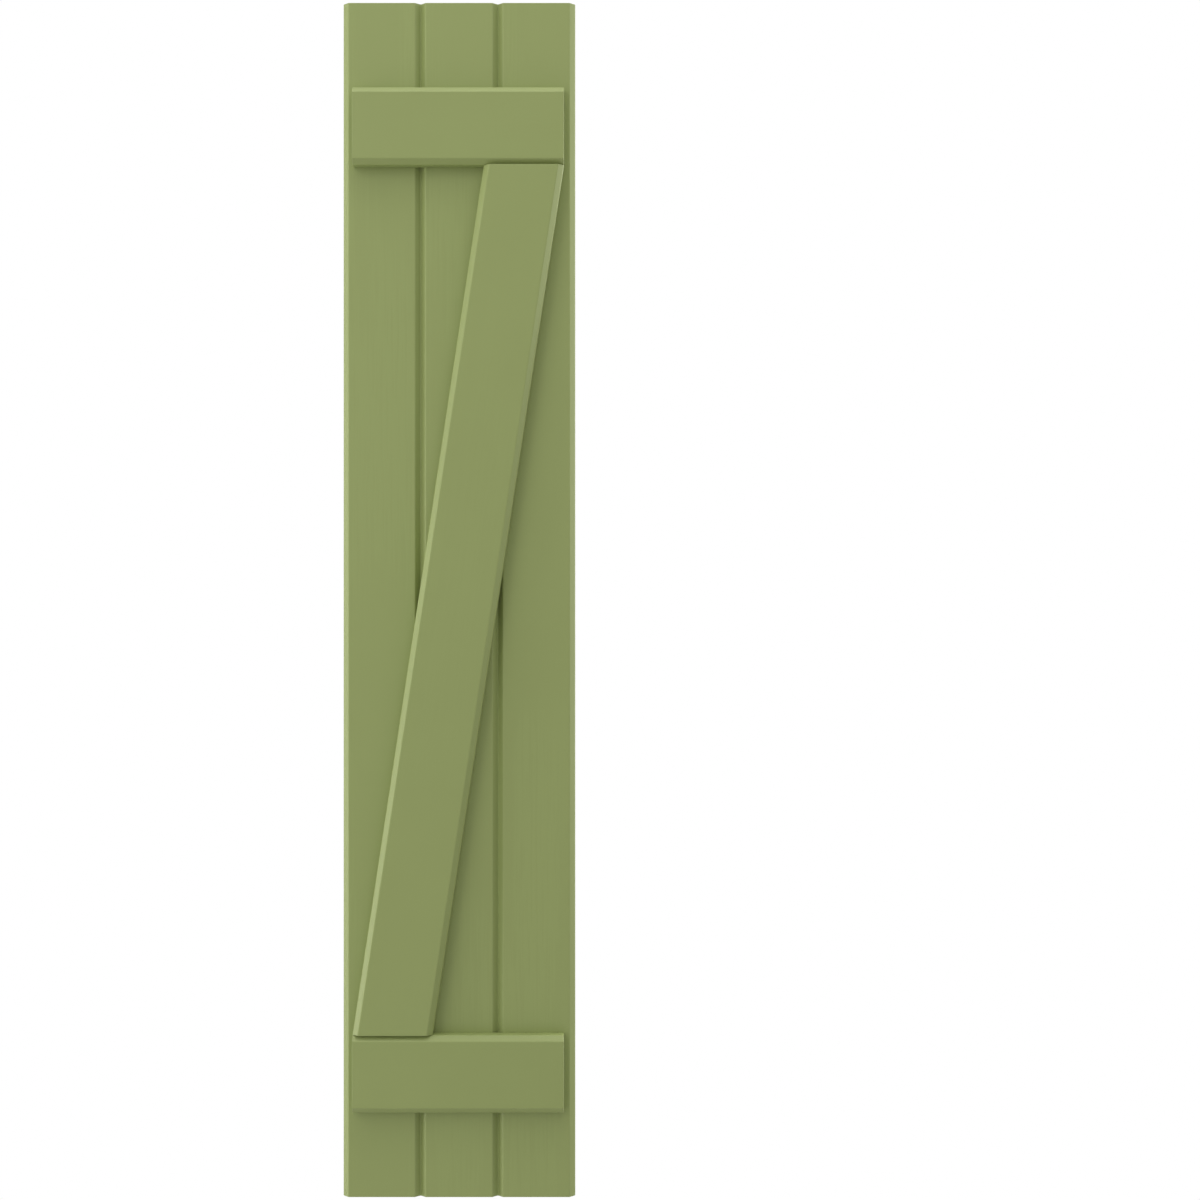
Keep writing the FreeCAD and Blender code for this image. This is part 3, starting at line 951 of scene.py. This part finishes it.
# %% Light the shutter
# For each lamp: its place, the point it faces, its width and height, all in metres, and its power in watts
LAMPS = {
    "left_softbox": ((-1.6, -1.7, 0.4), (0, 0, 0.0), (1.2, 1.8), 8.0),
    "left_raking_strip": ((-2.4, -0.6, -0.6), (0, 0, -0.2), (0.6, 1.2), 13.0),
    "left_strip": ((-2.0, 0.0, 0.1), (0, 0, 0.0), (0.5, 2.2), 12.3),
    "upper_left_softbox": ((-1.8, -1.8, 2.2), (0, 0, 0.0), (1.4, 1.4), 14.5),
    "overhead_softbox": ((0.0, -0.95, 4.2), (0, 0, 0.0), (2.6, 1.6), 43.0),
    "overhead_strip": ((0.0, 0.0, 2.4), (0, 0, 0.0), (2.0, 0.5), 5.2),
    "upper_right_softbox": ((1.0, -0.8, 1.8), (0, 0, 0.1), (1.0, 1.0), 6.2),
    "right_strip": ((2.0, 0.35, 0.5), (0, 0, 0.0), (0.8, 2.0), 10.6),
    "right_rear_softbox": ((1.7, 1.0, 0.3), (0, 0, 0.0), (1.0, 2.0), 19.9),
    "rear_softbox": ((-0.8, 2.9, 0.9), (0, 0, 0.0), (2.0, 2.0), 12.0),
}
WORLD_STRENGTH = 0.596


def add_lamp(name, place, target, size, power):
    """A rectangular lamp that faces a target point."""
    data = bpy.data.lights.new(name, "AREA")
    data.shape = "RECTANGLE"
    data.size, data.size_y = size
    data.energy = power
    lamp = bpy.data.objects.new(name, data)
    lamp.location = place
    lamp.rotation_euler = (Vector(target) - Vector(place)).to_track_quat("-Z", "Y").to_euler()
    bpy.context.scene.collection.objects.link(lamp)
    return lamp


lamps = [add_lamp(name, *settings) for name, settings in LAMPS.items()]
print(len(lamps), "lamps")

# %% [markdown]
# The background is white, but a white world would light the shutter too evenly. So only what looks
# at the world sees it white: the camera's rays, and the rays that a shiny or clear surface sends
# on. All other rays, which do the lighting, meet a light grey.

# %% Make the surroundings
WHITE = (1, 1, 1, 1)


def looking_rays(tree):
    """One for rays of the camera, of reflections and of glass, nought for rays that only carry light."""
    rays = add_node(tree, "ShaderNodeLightPath", (-900, 400))
    shiny = add_node(tree, "ShaderNodeMath", (-700, 400), operation="MAXIMUM")
    looking = add_node(tree, "ShaderNodeMath", (-500, 400), operation="MAXIMUM")
    tree.links.new(rays.outputs["Is Glossy Ray"], shiny.inputs[0])
    tree.links.new(rays.outputs["Is Transmission Ray"], shiny.inputs[1])
    tree.links.new(rays.outputs["Is Camera Ray"], looking.inputs[0])
    tree.links.new(shiny.outputs["Value"], looking.inputs[1])
    return looking.outputs["Value"]


def make_world():
    """A world that is white to look at and light grey as a lamp."""
    world = bpy.data.worlds.new("studio")
    world.use_nodes = True
    tree = world.node_tree
    tree.nodes.clear()
    soft = add_node(tree, "ShaderNodeBackground", (-300, 0), Color=WHITE, Strength=WORLD_STRENGTH)
    white = add_node(tree, "ShaderNodeBackground", (-300, -200), Color=WHITE, Strength=1.0)
    choose = add_node(tree, "ShaderNodeMixShader", (0, 0))
    sky = add_node(tree, "ShaderNodeOutputWorld", (250, 0))
    tree.links.new(looking_rays(tree), choose.inputs["Fac"])
    tree.links.new(soft.outputs["Background"], choose.inputs[1])
    tree.links.new(white.outputs["Background"], choose.inputs[2])
    tree.links.new(choose.outputs["Shader"], sky.inputs["Surface"])
    return world


bpy.context.scene.world = make_world()
print("world strength", WORLD_STRENGTH)

# %% [markdown]
# ## The floor
# A shutter hangs on a wall, some way above the ground, so the pale floor lies well below its foot.
# It takes the shutter's soft shadow and fades into the white surroundings with distance, so that no
# edge of it shows. In the photograph the bevels that face down are dark, so the floor sends less
# light back up than its pale look suggests.

# %% Lay the floor
FLOOR_BELOW = 0.62
FLOOR_HALF = 6.0
FADE_START, FADE_END = 0.9, 1.8
FLOOR_SEEN = (0.86, 0.86, 0.86, 1.0)
FLOOR_LIT = (0.50, 0.50, 0.50, 1.0)


def make_floor():
    """A large square below the shutter, pale near it and white further away."""
    level = foot - FLOOR_BELOW
    corners = np.array([(-1, -1), (1, -1), (1, 1), (-1, 1)]) * FLOOR_HALF
    floor = new_piece("floor", np.column_stack([corners, np.full(4, level)]), [[0, 1, 2, 3]])
    material, tree, surface = new_material("pale_floor")
    link = tree.links.new
    place = add_node(tree, "ShaderNodeTexCoord", (-1000, 0))
    flat = add_node(tree, "ShaderNodeVectorMath", (-800, 0), operation="MULTIPLY")
    flat.inputs[1].default_value = (1, 1, 0)
    far = add_node(tree, "ShaderNodeVectorMath", (-600, 0), operation="LENGTH")
    fade = add_node(tree, "ShaderNodeMapRange", (-400, 0), interpolation_type="SMOOTHSTEP",
                    From_Min=FADE_START, From_Max=FADE_END)
    only_seen = add_node(tree, "ShaderNodeMath", (-200, 100), operation="MULTIPLY")
    tone = add_node(tree, "ShaderNodeMix", (-400, -200), data_type="RGBA", A=FLOOR_LIT,
                    B=FLOOR_SEEN)
    pale = add_node(tree, "ShaderNodeBsdfDiffuse", (-200, -100))
    white = add_node(tree, "ShaderNodeEmission", (-200, -250), Color=WHITE, Strength=1.0)
    choose = add_node(tree, "ShaderNodeMixShader", (50, 0))
    link(place.outputs["Object"], flat.inputs[0])
    link(flat.outputs["Vector"], far.inputs[0])
    link(far.outputs["Value"], fade.inputs["Value"])
    link(fade.outputs["Result"], only_seen.inputs[0])
    looking = looking_rays(tree)
    link(looking, only_seen.inputs[1])
    link(looking, tone.inputs["Factor"])
    link(tone.outputs["Result"], pale.inputs["Color"])
    link(only_seen.outputs["Value"], choose.inputs["Fac"])
    link(pale.outputs["BSDF"], choose.inputs[1])
    link(white.outputs["Emission"], choose.inputs[2])
    link(choose.outputs["Shader"], surface.inputs["Surface"])
    floor.data.materials.append(material)
    floor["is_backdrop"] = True


make_floor()
bpy.context.scene.view_settings.view_transform = "Standard"
print("floor", round(FLOOR_BELOW, 2), "m below the shutter's foot")

# %% [markdown]
# ## The size of the dressed shutter
# The dressed shutter is meant to stay inside the solids' box. Its own box, without the floor, is
# written down here in millimetres.

# %% Write the visual size
low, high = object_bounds()
print("visual box in mm:", [round(side / MM, 2) for side in high - low])
